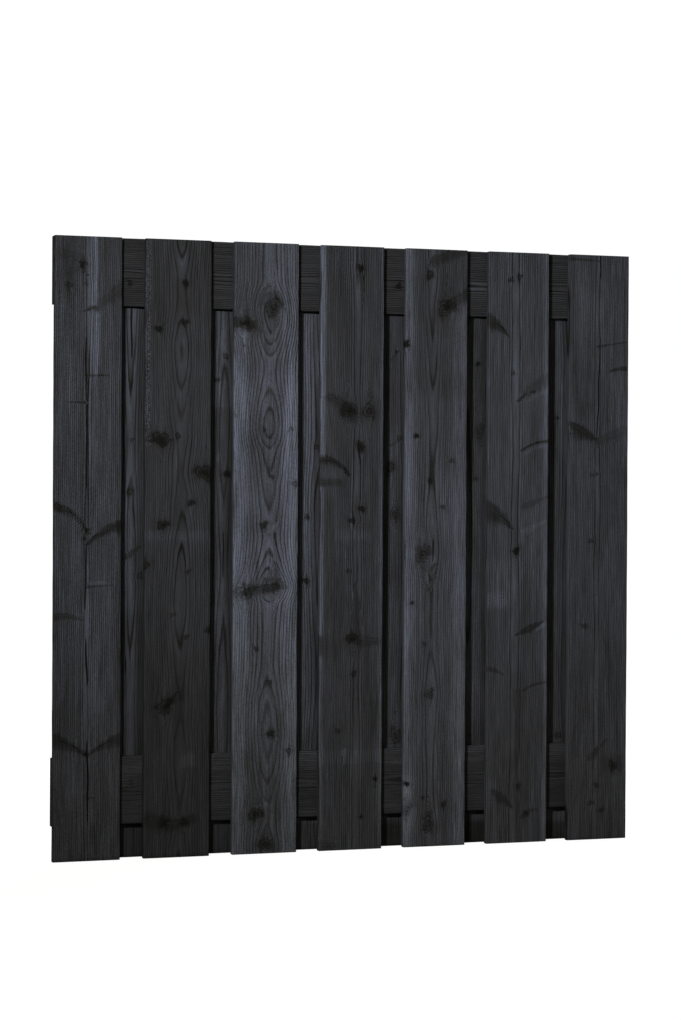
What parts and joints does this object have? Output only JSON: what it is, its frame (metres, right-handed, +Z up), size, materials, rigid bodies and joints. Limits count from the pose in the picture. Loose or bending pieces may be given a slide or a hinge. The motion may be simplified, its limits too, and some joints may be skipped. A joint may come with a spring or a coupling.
{
  "type": "fence panel",
  "caption": "Hit-and-miss garden fence panel: dark stained softwood boards in a front and a back row, screwed to flat rails between them, as a privacy screen between posts.",
  "frame": {"origin": "middle of the panel's foot, on the ground, halfway through its depth", "axes": "+X along the panel to the right as its front is seen, -Y out of the front, +Z up the boards"},
  "size_m": [1.8, 0.066, 1.8],
  "materials": {
    "front_board_wood": "fine-sawn softwood with a black-grey stain, grain and knots showing through",
    "back_board_wood": "fine-sawn softwood with a black-grey stain, grain and knots showing through",
    "rail_wood": "fine-sawn softwood with a black-grey stain, grain running along the rail",
    "screw_steel": "stainless countersunk wood screw"
  },
  "bodies": {
    "root": {"front_board_1": "front_board_wood", "front_board_2": "front_board_wood", "front_board_3": "front_board_wood", "front_board_4": "front_board_wood", "front_board_5": "front_board_wood", "front_board_6": "front_board_wood", "front_board_7": "front_board_wood", "back_board_1": "back_board_wood", "back_board_2": "back_board_wood", "back_board_3": "back_board_wood", "back_board_4": "back_board_wood", "back_board_5": "back_board_wood", "back_board_6": "back_board_wood", "top_rail": "rail_wood", "bottom_rail": "rail_wood", "front_board_screws": "screw_steel", "back_board_screws": "screw_steel"}
  },
  "joints": []
}
